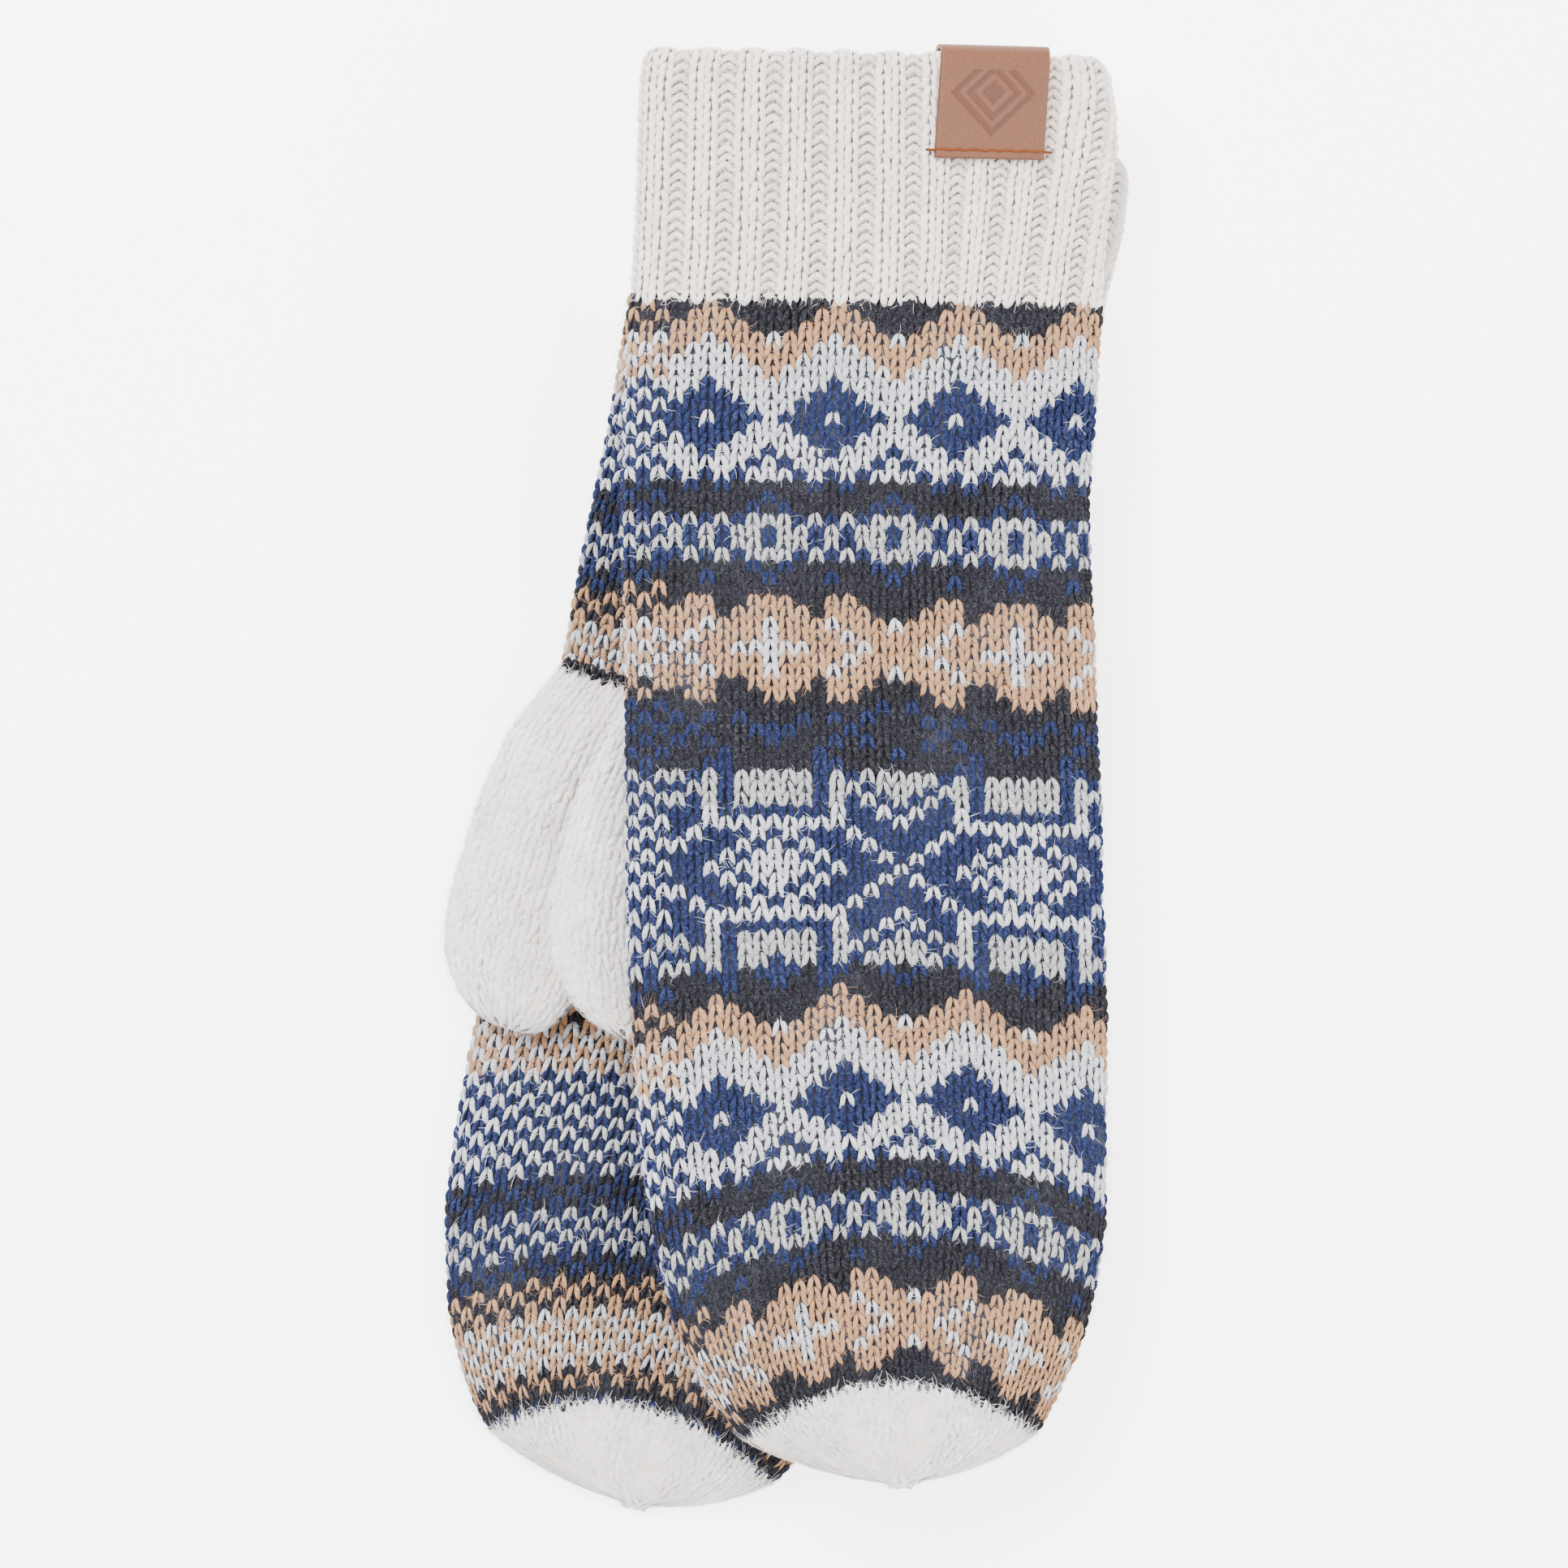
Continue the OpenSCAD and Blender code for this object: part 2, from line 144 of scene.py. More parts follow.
class Tube:
    """A flattened tube. s runs along it, a round it from the middle of its upper face, h out."""

    def __init__(self, place, wide, deep, s0, s1, step=0.5, na=512, lag=False):
        self.place, self.s0, self.step, self.na, self.lagged = place, s0, step, na, lag
        self.s = np.arange(s0, s1 + step / 2, step)
        th = math.pi / 2 - np.linspace(0, 2 * math.pi, 6001)
        cx = np.sign(np.cos(th)) * np.abs(np.cos(th)) ** 0.8
        cy = np.sign(np.sin(th)) * np.abs(np.sin(th)) ** 0.8
        rows_t, rows_n, per = [], [], []
        for w, d in zip(wide(self.s), deep(self.s)):
            x, y = w * cx, d * cy
            run = np.concatenate([[0], np.cumsum(np.hypot(np.diff(x), np.diff(y)))])
            at = np.linspace(0, run[-1], na + 1)
            rows_t.append(np.interp(at, run, x)[:-1])
            rows_n.append(np.interp(at, run, y)[:-1])
            per.append(run[-1])
        T, N = np.array(rows_t), np.array(rows_n)
        dt = np.roll(T, -1, 1) - np.roll(T, 1, 1)
        dn = np.roll(N, -1, 1) - np.roll(N, 1, 1)
        size = np.hypot(dt, dn)
        self.fields = np.stack([T, N, -dn / size, dt / size], -1)
        self.per = np.array(per)
        c = np.array([s0 + 6.0, s0 + 6.0, s0 + 7.0, s0 + 6.0])
        p = self.at(c, np.array([0.0, 0.002, 0.0, 0.0]), np.array([0, 0, 0, 1.0]))
        self.hand = np.sign(np.linalg.det(p[1:] - p[0]))

    def perimeter(self, s):
        return np.interp(s, self.s, self.per)

    def look(self, s, a):
        fs = np.clip((s - self.s0) / self.step, 0, len(self.s) - 1.001)
        i = fs.astype(int)
        fs = (fs - i)[..., None]
        fa = np.mod(a, 1) * self.na
        j = fa.astype(int) % self.na
        fa = (fa - np.floor(fa))[..., None]
        k = (j + 1) % self.na
        f = self.fields
        return ((f[i, j] * (1 - fa) + f[i, k] * fa) * (1 - fs)
                + (f[i + 1, j] * (1 - fa) + f[i + 1, k] * fa) * fs)

    def behind(self, base, a):
        """Where a row that is at base in the middle lies, at a."""
        if not self.lagged:
            return base
        s = np.array(base, float)
        much = smooth(LAG, base)
        for _ in range(7):
            t = self.look(s, a)[..., 0]
            s = 0.5 * s + 0.5 * (base + much * (t / 30) ** 2)
        return s

    def at(self, s, a, h):
        f = self.look(s, a)
        return self.place(s, f[..., 0] + h * f[..., 2], f[..., 1] + h * f[..., 3])


def hand_tube(place):
    return Tube(place, lambda s: HAND_HALF * smooth(WIDE, s),
                lambda s: HAND_DEEP * smooth(DEEP, s), 40, 276.8, 0.4, lag=True)


def cuff_tube(place):
    return Tube(place, lambda s: CUFF_HALF * smooth(CUFF_WIDE, s),
                lambda s: 6.5 * smooth(CUFF_DEEP, s), -3, 52)


VISUAL_THUMB = [[0, 0.3], [3, 0.5], [6, 0.68], [10, 0.86], [16, 0.98], [24, 1.0], [55, 1.0],
                [61, 0.95], [65, 0.85], [68, 0.69], [70, 0.46], [70.8, 0.25]]


def thumb_tube(place):
    return Tube(place, lambda s: THUMB_HALF * smooth(THUMB_WIDE, s),
                lambda s: THUMB_THICK * smooth(VISUAL_THUMB, s), 0, 70.8, 0.3)


# ------------------------------------------------------------------ the colour chart
CHARCOAL, PEACH, WHITE, BLUE, GREY = range(5)
K, P, W, B, G = CHARCOAL, PEACH, WHITE, BLUE, GREY
SMALL = {0: "PKKKK", 1: "PPKKK", 2: "PPPKK", 3: "WPPPW", 4: "WWPPP", 5: "WWWPP", 6: "WWWWP",
         7: "BWWWW", 8: "BBWWW", 9: "BBBWW", 10: "WBBBW", 11: "BBBWW", 12: "BBWWW",
         13: "BWWWB", 14: "WWWBW", 15: "BWBWW", 16: "KBKKK", 17: "KKKKB", 18: "KKKBK",
         19: "BGBGG", 20: "GBGGB", 21: "GBGGB", 22: "BGBGG", 23: "KKKBK", 24: "BKKKB",
         25: "KKKKK"}
LARGE = {26: "PPKKPPKKK", 27: "PPPKPPPKK", 28: "WPPPWPPPW", 29: "WPPPPWPPP",
         30: "WWWPPPWPP", 31: "WPPPPWPPP", 32: "WPPPWPPPW", 35: "KKKKKKKBK",
         36: "KKBKBKBKK", 37: "BBKKKBKKK", 38: "BKKKBKBKK", 39: "KKKBKKKKB",
         40: "KKKBBKKKK", 41: "GGGBGBGGG", 42: "GGGBGGBGG", 43: "GGGBGBGBG",
         44: "BBBBWBBWB", 45: "WWWWWBBBW", 46: "BWBBBWBBB", 47: "WBWBBBWBB",
         48: "WWBWBBBWB", 49: "WWWBWBBBW", 50: "WWBWBBBWB", 51: "WBWBBBWBB",
         52: "BWBBBWBBB", 53: "WWWWWBBBW", 54: "BBBBWBBWB", 55: "GGGBGBGBG",
         56: "GGGBGGBGG", 57: "BGGBGBGGG", 58: "BBKBBKKBK", 59: "BKKBKKKKB"}
ONE_SIDED = {33: {15, 0, 1, 2, 4, 5, 6, 10, 11, 12}, 34: {0, 1, 4, 5, 11, 12}}
PAIRS = [(2, K, P), (6, P, W), (15, B, W), (18, K, B), (22, B, G), (24, K, B), (27, K, P),
         (32, P, W), (34, K, P), (40, K, B), (43, B, G), (54, B, W), (57, B, G), (59, K, B)]
YARN = {"K": K, "P": P, "W": W, "B": B, "G": G}


def colour_of(c, r):
    """The yarn of column c in row r. Columns -6 to 22 are the back of the hand."""
    c = (c + COLUMNS // 2) % COLUMNS - COLUMNS // 2
    if c < -25:
        c += COLUMNS
    row = r % 60
    if -6 <= c <= 22 and r < 95:
        if row <= 25:
            d = abs((c - 4 + 4) % 8 - 4)
            return YARN[SMALL[row][d]]
        if row in ONE_SIDED:
            return P if c % 16 in ONE_SIDED[row] else K
        e = abs((c + 8) % 16 - 8)
        return YARN[LARGE[row][e]]
    if r >= 95:
        if r == 95 or -6 <= c <= 22:
            return K
        return B if c % 2 else K
    for last, one, two in PAIRS:
        if row <= last:
            return one if (c + r) % 2 else two
    return K


# ------------------------------------------------------------------ yarn templates
def leg(points, radii, nk=6, flat=0.82):
    """Rings round a centre line given as (across, along, out) in stitch widths, rows, widths."""
    p = np.array(points, float)
    d = np.gradient(p, axis=0)
    d[:, 1] *= 0.7
    tangent = d / np.linalg.norm(d, axis=1)[:, None]
    side = np.stack([tangent[:, 1], -tangent[:, 0], 0 * tangent[:, 0]], 1)
    side /= np.maximum(np.linalg.norm(side, axis=1), 1e-6)[:, None]
    up = np.cross(side, tangent)
    up *= np.sign(up[:, 2:3] + 1e-9)
    th = -math.pi / 2 + 2 * math.pi * np.arange(nk) / nk
    off = (side[:, None, :] * np.cos(th)[None, :, None]
           + up[:, None, :] * np.sin(th)[None, :, None] * flat) * np.array(radii)[:, None, None]
    run = np.concatenate([[0], np.cumsum(np.linalg.norm(np.diff(p, axis=0), axis=1))])
    return {"mid": np.repeat(p, nk, axis=0), "off": off.reshape(-1, 3), "nk": nk,
            "nr": len(p), "run": run}


def bez(n, fn):
    return [fn(x) for x in np.linspace(0, 1, n)]


def v_leg(sign, start=-0.74, end=0.78, inner=0.07, spread=0.4, lift=0.26, n=7):
    def point(x):
        return (sign * (inner + spread * (x + 0.05 * math.sin(2 * math.pi * x))),
                start + (end - start) * x, lift * math.sin(math.pi * x) ** 0.8 - 0.2)
    return bez(n, point)


FAT = [0.07, 0.145, 0.183, 0.19, 0.182, 0.148, 0.08]
KNIT = [leg(v_leg(-1), FAT), leg(v_leg(1), FAT)]
SOFT_FAT = [0.09, 0.17, 0.208, 0.215, 0.208, 0.175, 0.1]
SOFT = [leg(v_leg(side, end=0.82, lift=0.2), SOFT_FAT) for side in (-1, 1)]
RIB_FAT = [0.09, 0.17, 0.208, 0.216, 0.208, 0.172, 0.1]
RIB = [leg(v_leg(side, spread=0.34, inner=0.09, lift=0.2), RIB_FAT) for side in (-1, 1)]
PURL = [leg([(-0.66, 0.42, -0.2), (-0.45, 0.22, -0.02), (-0.22, -0.12, 0.08), (0.0, -0.3, 0.1),
             (0.22, -0.12, 0.08), (0.45, 0.22, -0.02), (0.66, 0.42, -0.2)],
            [0.13, 0.2, 0.24, 0.25, 0.24, 0.2, 0.13])]


class Mesh:
    """Collects quads with a yarn map, a seed and a tone, and makes one object of them."""

    def __init__(self):
        self.co, self.quads, self.uv, self.mat, self.seed, self.tone, self.n = (
            [], [], [], [], [], [], 0)

    def add(self, co, quads, uv, mat, seed, tone):
        self.co.append(co)
        self.quads.append(quads + self.n)
        self.uv.append(uv)
        self.mat.append(mat)
        self.seed.append(seed)
        self.tone.append(tone)
        self.n += len(co)

    def build(self, name, materials):
        co, quads = np.concatenate(self.co) * MM, np.concatenate(self.quads)
        uv, mat = np.concatenate(self.uv), np.concatenate(self.mat)
        me = bpy.data.meshes.new(name)
        me.vertices.add(len(co))
        me.vertices.foreach_set("co", co.astype(np.float32).ravel())
        me.loops.add(quads.size)
        me.loops.foreach_set("vertex_index", quads.astype(np.int32).ravel())
        me.polygons.add(len(quads))
        me.polygons.foreach_set("loop_start", (np.arange(len(quads)) * 4).astype(np.int32))
        me.polygons.foreach_set("loop_total", np.full(len(quads), 4, np.int32))
        me.polygons.foreach_set("material_index", mat.astype(np.int32))
        me.polygons.foreach_set("use_smooth", np.ones(len(quads), bool))
        me.uv_layers.new(name="yarn").data.foreach_set("uv", uv.astype(np.float32).ravel())
        for key, values in (("seed", self.seed), ("tone", self.tone)):
            at = me.attributes.new(key, "FLOAT", "POINT")
            at.data.foreach_set("value", np.concatenate(values).astype(np.float32))
        me.update(calc_edges=True)
        me.validate()
        for m in materials:
            me.materials.append(m)
        ob = bpy.data.objects.new(name, me)
        bpy.context.scene.collection.objects.link(ob)
        return ob


def tube_quads(nr, nk, flip):
    i, k = np.meshgrid(np.arange(nr - 1), np.arange(nk), indexing="ij")
    a, b = i * nk + k, i * nk + (k + 1) % nk
    c, d = b + nk, a + nk
    order = [a, d, c, b] if flip else [a, b, c, d]
    quads = np.stack([x.ravel() for x in order], 1)
    ua, ub, lo, hi = k / nk, (k + 1) / nk, i, i + 1
    cor = {"a": (ua, lo), "b": (ub, lo), "c": (ub, hi), "d": (ua, hi)}
    names = "adcb" if flip else "abcd"
    uv = np.stack([np.stack([cor[x][0].ravel(), cor[x][1].ravel()], 1) for x in names], 1)
    return quads, uv


def yarns(mesh, tube, template, s, a, wid, pit, col, mapper, wild=1.0, h=-0.8,
          shape=None):
    """Adds one stitch a row of s, a, wid, pit and col. mapper turns (along, a, out) into mm."""
    n = len(s)
    if n == 0:
        return
    seed = rng.random(n)
    tone = (1 + 0.07 * wild * rng.standard_normal(n)).clip(0.75, 1.25)
    du0 = 0.035 * wild * rng.standard_normal(n)
    dv0 = 0.05 * wild * rng.standard_normal(n)
    for part in template:
        mid, off = part["mid"], part["off"]
        grow = 1 + 0.07 * wild * rng.standard_normal(n)
        lean = 0.03 * wild * rng.standard_normal(n)
        up = 0.035 * wild * rng.standard_normal(n)
        u = ((mid[None, :, 0] + du0[:, None] + lean[:, None] * mid[None, :, 1]
              + off[None, :, 0] * grow[:, None]) * wid[:, None])
        v = ((mid[None, :, 1] + dv0[:, None]) * pit[:, None]
             + off[None, :, 1] * grow[:, None] * wid[:, None])
        w = ((mid[None, :, 2] + up[:, None] + off[None, :, 2] * grow[:, None])
             * wid[:, None] + h)
        if shape is not None:
            w = w + shape(u + 0 * v, s[:, None] + v, a[:, None])
        co = mapper(s[:, None] + v, a[:, None], u, w).reshape(-1, 3)
        q, uv = tube_quads(part["nr"], part["nk"], tube.hand > 0)
        m = len(mid)
        quads = (q[None] + (np.arange(n) * m)[:, None, None]).reshape(-1, 4)
        uvs = np.broadcast_to(uv[None], (n,) + uv.shape).copy()
        uvs[..., 1] = np.interp(uvs[..., 1], np.arange(part["nr"]), part["run"]) * 3.0
        mesh.add(co, quads, uvs.reshape(-1, 2), np.repeat(col, len(q)),
                 np.repeat(seed, m), np.repeat(tone, m))


def fibres(mesh, s, a, wid, col, mapper, count, long=(0.8, 2.6), rise=(0.02, 0.45), width=0.021,
           tone=1.2):
    """Loose hairs: thin curved ribbons that start on random stitches. A tone above 1 makes them
    lighter than their yarn, as painted sheen.
    """
    pick = rng.integers(0, len(s), count)
    L = rng.uniform(*long, count)
    head = rng.uniform(0, 2 * math.pi, count)
    curl = rng.normal(0, 1.0, count)
    top = rng.uniform(*rise, count)
    x = np.linspace(0, 1, 4)
    ang = head[:, None] + curl[:, None] * x[None]
    step = L[:, None] / 3
    du = np.concatenate([np.zeros((count, 1)), np.cumsum(np.cos(ang[:, :-1]) * step, 1)], 1)
    dv = np.concatenate([np.zeros((count, 1)), np.cumsum(np.sin(ang[:, :-1]) * step, 1)], 1)
    start_u = rng.uniform(-0.4, 0.4, count) * wid[pick]
    start_v = rng.uniform(-1.0, 1.0, count)
    dh = -0.25 + (top[:, None] + 0.25) * np.sin(math.pi * 0.5 * x[None] ** 0.7)
    wide = width * np.array([1, 1, 0.8, 0.35])
    nu, nv = -np.sin(ang) * wide[None], np.cos(ang) * wide[None]
    both = []
    for sign in (-1, 1):
        uu = start_u[:, None] + du + sign * nu
        vv = start_v[:, None] + dv + sign * nv
        both.append(mapper(s[pick][:, None] + vv, a[pick][:, None], uu, dh))
    co = np.stack(both, 2).reshape(-1, 3)
    i = np.arange(3)
    q = np.stack([2 * i, 2 * i + 1, 2 * i + 3, 2 * i + 2], 1)
    quads = (q[None] + (np.arange(count) * 8)[:, None, None]).reshape(-1, 4)
    uv = np.full((len(quads), 4, 2), 0.5)
    mesh.add(co, quads, uv.reshape(-1, 2), np.repeat(col[pick], 3),
             np.repeat(rng.random(count), 8), np.full(count * 8, tone))


def bumps(s, a, k=1.0):
    """Soft waves in the fabric, mostly inwards."""
    w = 2 * math.pi
    return k * (0.16 * np.sin(w * (s / 61 + 1.3 * np.sin(w * a)))
                + 0.14 * np.sin(w * (3 * a + s / 97))
                + 0.1 * np.sin(w * (5 * a - s / 37)) - 0.26)


# ------------------------------------------------------------------ materials
def node(nt, kind, **values):
    n = nt.nodes.new(kind)
    for key, value in values.items():
        setattr(n, key, value)
    return n


def rgb(hex_code, k=1.0):
    """A linear colour. k scales it, as one number or one a channel."""
    c = [int(hex_code[i:i + 2], 16) / 255 for i in (0, 2, 4)]
    k = k if isinstance(k, tuple) else (k, k, k)
    return tuple(min(1, (x / 12.92 if x <= 0.04045 else ((x + 0.055) / 1.055) ** 2.4) * y)
                 for x, y in zip(c, k)) + (1.0,)


def start_material(name, rough):
    m = bpy.data.materials.new(name)
    m.use_nodes = True
    nt = m.node_tree
    nt.nodes.clear()
    out = node(nt, "ShaderNodeOutputMaterial")
    p = node(nt, "ShaderNodeBsdfPrincipled")
    p.inputs["Roughness"].default_value = rough
    nt.links.new(p.outputs[0], out.inputs["Surface"])
    return m, nt, p


def wool(name, dark, mid, light, sheen=0.35, contrast=1.6, bump=0.8):
    m, nt, p = start_material(name, 0.92)
    ln = nt.links.new
    uv = node(nt, "ShaderNodeUVMap", uv_map="yarn")
    sep = node(nt, "ShaderNodeSeparateXYZ")
    ln(uv.outputs[0], sep.inputs[0])
    seed = node(nt, "ShaderNodeAttribute", attribute_name="seed")
    tone = node(nt, "ShaderNodeAttribute", attribute_name="tone")

    def maths(op, x, y):
        n = node(nt, "ShaderNodeMath", operation=op)
        for i, v in enumerate((x, y)):
            if isinstance(v, (int, float)):
                n.inputs[i].default_value = v
            elif v is not None:
                ln(v, n.inputs[i])
        return n.outputs[0]

    twist = maths("ADD", maths("MULTIPLY", sep.outputs[0], 6.0),
                  maths("MULTIPLY", sep.outputs[1], 1.6))
    z = maths("MULTIPLY", seed.outputs["Fac"], 90.0)
    xyz = node(nt, "ShaderNodeCombineXYZ")
    ln(twist, xyz.inputs[0])
    ln(sep.outputs[1], xyz.inputs[1])
    ln(z, xyz.inputs[2])
    fibre = node(nt, "ShaderNodeTexNoise")
    fibre.inputs["Scale"].default_value = 2.2
    fibre.inputs["Detail"].default_value = 5
    fibre.inputs["Roughness"].default_value = 0.75
    ln(xyz.outputs[0], fibre.inputs["Vector"])
    ramp = node(nt, "ShaderNodeValToRGB")
    e = ramp.color_ramp.elements
    e[0].position, e[0].color = 0.5 - 0.2 / contrast, dark
    e[1].position, e[1].color = 0.5 + 0.2 / contrast, light
    e.new(0.5).color = mid
    ln(fibre.outputs["Fac"], ramp.inputs[0])
    hsv = node(nt, "ShaderNodeHueSaturation")
    ln(ramp.outputs[0], hsv.inputs["Color"])
    ln(tone.outputs["Fac"], hsv.inputs["Value"])
    ln(hsv.outputs[0], p.inputs["Base Color"])
    ply = maths("SINE", maths("MULTIPLY", maths("ADD", maths("MULTIPLY", sep.outputs[0], 2.0),
                                                maths("MULTIPLY", sep.outputs[1], 0.55)),
                              2 * math.pi), None)
    height = maths("ADD", maths("MULTIPLY", ply, 0.25), fibre.outputs["Fac"])
    b = node(nt, "ShaderNodeBump")
    b.inputs["Strength"].default_value = bump
    b.inputs["Distance"].default_value = 0.0004
    ln(height, b.inputs["Height"])
    ln(b.outputs[0], p.inputs["Normal"])
    p.inputs["Sheen Weight"].default_value = sheen
    p.inputs["Sheen Roughness"].default_value = 0.9
    p.inputs["Sheen Tint"].default_value = light
    p.inputs["Specular IOR Level"].default_value = 0.03
    return m


def grainy(name, dark, light, scale, rough=0.8, bump=0.3, distance=0.0003, detail=6.0):
    m, nt, p = start_material(name, rough)
    ln = nt.links.new
    tc = node(nt, "ShaderNodeTexCoord")
    n1 = node(nt, "ShaderNodeTexNoise")
    n1.inputs["Scale"].default_value = scale
    n1.inputs["Detail"].default_value = detail
    n1.inputs["Roughness"].default_value = 0.7
    ln(tc.outputs["Object"], n1.inputs["Vector"])
    ramp = node(nt, "ShaderNodeValToRGB")
    e = ramp.color_ramp.elements
    e[0].position, e[0].color = 0.34, dark
    e[1].position, e[1].color = 0.66, light
    ln(n1.outputs["Fac"], ramp.inputs[0])
    ln(ramp.outputs[0], p.inputs["Base Color"])
    b = node(nt, "ShaderNodeBump")
    b.inputs["Strength"].default_value = bump
    b.inputs["Distance"].default_value = distance
    ln(n1.outputs["Fac"], b.inputs["Height"])
    ln(b.outputs[0], p.inputs["Normal"])
    return m, nt, p, ramp


def leather():
    """Tan leather with a fine grain, darker where the mark 'press' is pushed in."""
    m, nt, p, ramp = grainy("tan_leather", rgb("8A5B38", (0.306, 0.195, 0.124)),
                            rgb("AC7A50", (0.306, 0.195, 0.124)), 2600.0, 0.62, 0.35,
                            0.0002, 4.0)
    ln = nt.links.new
    press = node(nt, "ShaderNodeAttribute", attribute_name="press")
    mix = node(nt, "ShaderNodeMix", data_type="RGBA", blend_type="MULTIPLY")
    mix.inputs["B"].default_value = (0.66, 0.50, 0.42, 1)
    ln(press.outputs["Fac"], mix.inputs["Factor"])
    ln(ramp.outputs[0], mix.inputs["A"])
    ln(mix.outputs["Result"], p.inputs["Base Color"])
    return m


# the renderer's tone curve is soft, so the dark and strong yarns are scaled down
K_DARK, K_BLUE, K_PEACH = (0.188, 0.18, 0.2), (0.3, 0.27, 0.3), (0.5, 0.42, 0.33)
M_CHARCOAL = wool("charcoal_wool", rgb("1A1B1F", K_DARK), rgb("424348", K_DARK),
                  rgb("9A9BA0", K_DARK), 0.3, 1.9, 0.9)
M_PEACH = wool("peach_wool", rgb("BC8C68", K_PEACH), rgb("DDB596", K_PEACH),
               rgb("F6E2D0", K_PEACH))
# white yarn, scaled down to about 0.6 as painted shade among the dark pattern stitches
M_WHITE_SHADED = wool("pattern_white_shaded_wool", rgb("B4B6C6", 0.55), rgb("E4E4EC", 0.62),
               rgb("FCFCFF", 0.76))
M_BLUE = wool("blue_wool", rgb("151D40", K_BLUE), rgb("32427A", K_BLUE), rgb("7384AE", K_BLUE),
              0.3, 1.8)
M_GREY = wool("grey_wool", rgb("6E6E72", 0.8), rgb("ADADB0", 0.8), rgb("DCDCDC", 0.8), 0.3, 1.9)
M_CREAM = wool("cream_wool", rgb("DACBC0"), rgb("F0E6DF"), rgb("FBF6F3"))
M_CROWN = wool("soft_white_wool", rgb("CFCAC5"), rgb("EAE6E3"), rgb("F8F5F3"))
# the purl stitches in the rib valleys: the cream yarn made darker, as painted shade in the valleys
M_VALLEY_SHADE = wool("valley_shade_wool", rgb("CDB6A8"), rgb("E6D5CB"), rgb("F2E9E3"))
PATTERN = [M_CHARCOAL, M_PEACH, M_WHITE_SHADED, M_BLUE, M_GREY]
M_LEATHER = leather()
M_THREAD = wool("brown_thread", rgb("54200E", 0.5), rgb("8A4A2C", 0.5), rgb("A8704E", 0.5),
                0.1, 1.0, 0.3)
M_FLEECE = grainy("lining_fleece", rgb("8C8C8A"), rgb("C4C4C2"), 900.0, 0.95, 0.8, 0.0008)[0]
# behind the patterned hand: the real float yarn, made near-black blue-grey throughout, which is
# also painted shade in the gaps between stitches
M_FLOAT_GAP_SHADE = grainy("float_yarn", rgb("3E4258", 0.12), rgb("6E7290", 0.14), 700.0, 0.95, 0.6,
                 0.0005)[0]
M_FLOAT_LIGHT = grainy("float_yarn_light", rgb("CDC2B9"), rgb("E8E1DB"), 700.0, 0.95, 0.6,
                       0.0005)[0]


# ------------------------------------------------------------------ pieces
def simple_mapper(tube):
    def mapper(s, a, u, w):
        per = tube.perimeter(s)
        aa = a + u / per
        return tube.at(tube.behind(s, aa), aa, w)
    return mapper


def grid_surface(name, tube, s_list, h, material, na=128, inward=False):
    """A plain skin at depth h below the surface, as a backing or a lining."""
    s, a = np.meshgrid(np.array(s_list, float), np.arange(na) / na, indexing="ij")
    w = np.full(s.shape, float(h)) + 0.12 * rng.standard_normal(s.shape)
    co = tube.at(tube.behind(s, a), a, w).reshape(-1, 3)
    q, uv = tube_quads(len(s_list), na, (tube.hand > 0) != inward)
    m = Mesh()
    m.add(co, q, uv.reshape(-1, 2), np.zeros(len(q)), rng.random(len(co)), np.ones(len(co)))
    return m.build(name, [material])


def crease(s, a):
    """Gather lines that run into the tip."""
    deep = np.zeros(np.broadcast(s, a).shape)
    for at, size in ((0.035, 0.9), (-0.06, 0.8), (0.12, 0.7), (-0.15, 0.8), (0.2, 0.5),
                     (0.44, 0.9), (0.53, 1.0), (0.62, 0.7), (0.36, 0.7), (0.7, 0.5)):
        gap = np.abs((a - at + 0.5) % 1 - 0.5)
        deep = deep + size * np.exp(-(gap / 0.011) ** 2)
    return -deep * np.clip((s - 257) / 12, 0, 1)


